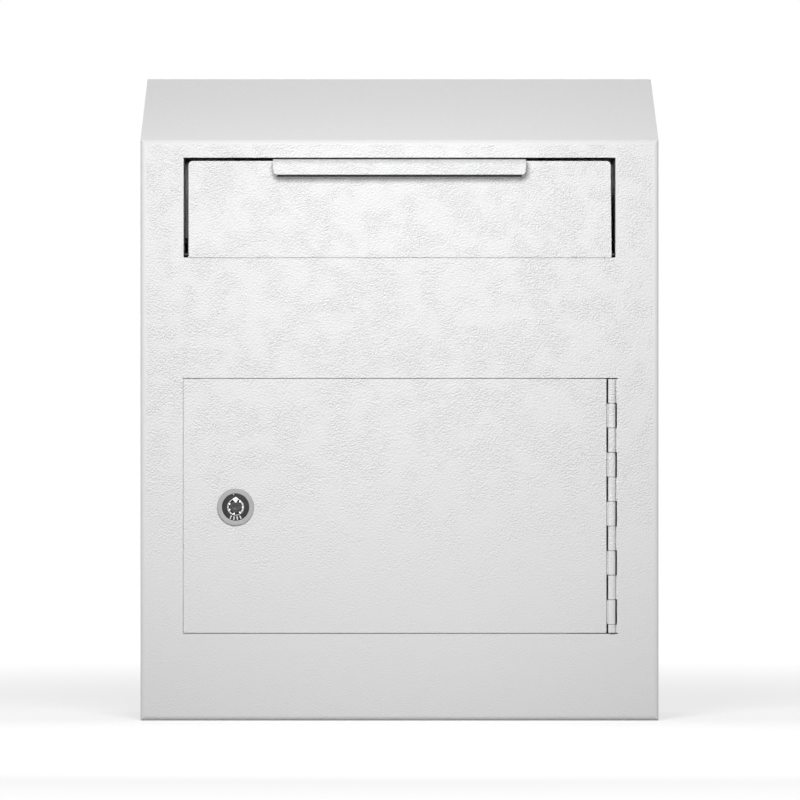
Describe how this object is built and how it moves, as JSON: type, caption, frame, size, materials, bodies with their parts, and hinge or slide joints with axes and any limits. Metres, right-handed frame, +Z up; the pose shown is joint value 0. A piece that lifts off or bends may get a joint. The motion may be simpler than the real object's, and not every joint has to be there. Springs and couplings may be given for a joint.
{
  "type": "wall-mount key drop box",
  "caption": "Wall-mount key drop box in textured painted steel: sloping top, pull-down hopper with bent handle, and a hinged lower door with a round-key cam lock.",
  "frame": {"origin": "middle of the underside, on the surface that the box stands on", "axes": "+Z up, the front faces -Y, the wall side faces +Y and +X is to the right of someone facing the front"},
  "size_m": [0.32, 0.162, 0.402],
  "materials": {
    "paint": "fine wrinkle powder coat",
    "steel": "zinc plated",
    "lock_chrome": "satin nickel",
    "lock_dark": "dark satin"
  },
  "bodies": {
    "cabinet": {"body_shell": "paint", "top_cover": "paint", "bottom_panel": "paint", "back_panel": "paint", "door_strip_top": "paint", "door_strip_bottom": "paint", "latch_strike": "paint", "hopper_bracket_left": "paint", "hopper_bracket_right": "paint", "baffle": "paint", "hinge_leaf_frame": "paint", "hinge_pin": "steel"},
    "hopper": {"hopper_front": "paint", "hopper_tray": "paint", "hopper_cheek_left": "paint", "hopper_cheek_right": "paint", "hopper_handle": "paint", "hopper_pivot_pins": "steel", "hopper_stop_studs": "steel"},
    "door": {"door_panel": "paint", "door_stiffener": "paint", "hinge_leaf_door": "paint", "lock_housing": "lock_chrome", "lock_face": "lock_dark", "lock_washer": "steel", "lock_nut": "steel"},
    "lock_cylinder": {"lock_core": "lock_dark", "lock_key_pins": "lock_chrome", "lock_stop_washer": "steel", "lock_cam": "steel", "cam_screw": "steel"}
  },
  "joints": [
    {"name": "hopper_swing", "type": "hinge", "parent": "cabinet", "child": "hopper", "pos_m": [0, -0.0734, 0.2879], "axis": [1, 0, 0], "range_deg": [0, 55]},
    {"name": "door_swing", "type": "hinge", "parent": "cabinet", "child": "door", "pos_m": [0.13105, -0.07475, 0.1326], "axis": [0, 0, 1], "range_deg": [0, 160]},
    {"name": "lock_turn", "type": "hinge", "parent": "door", "child": "lock_cylinder", "pos_m": [-0.1012, -0.066, 0.1319], "axis": [0, 1, 0], "range_deg": [0, 90]}
  ]
}
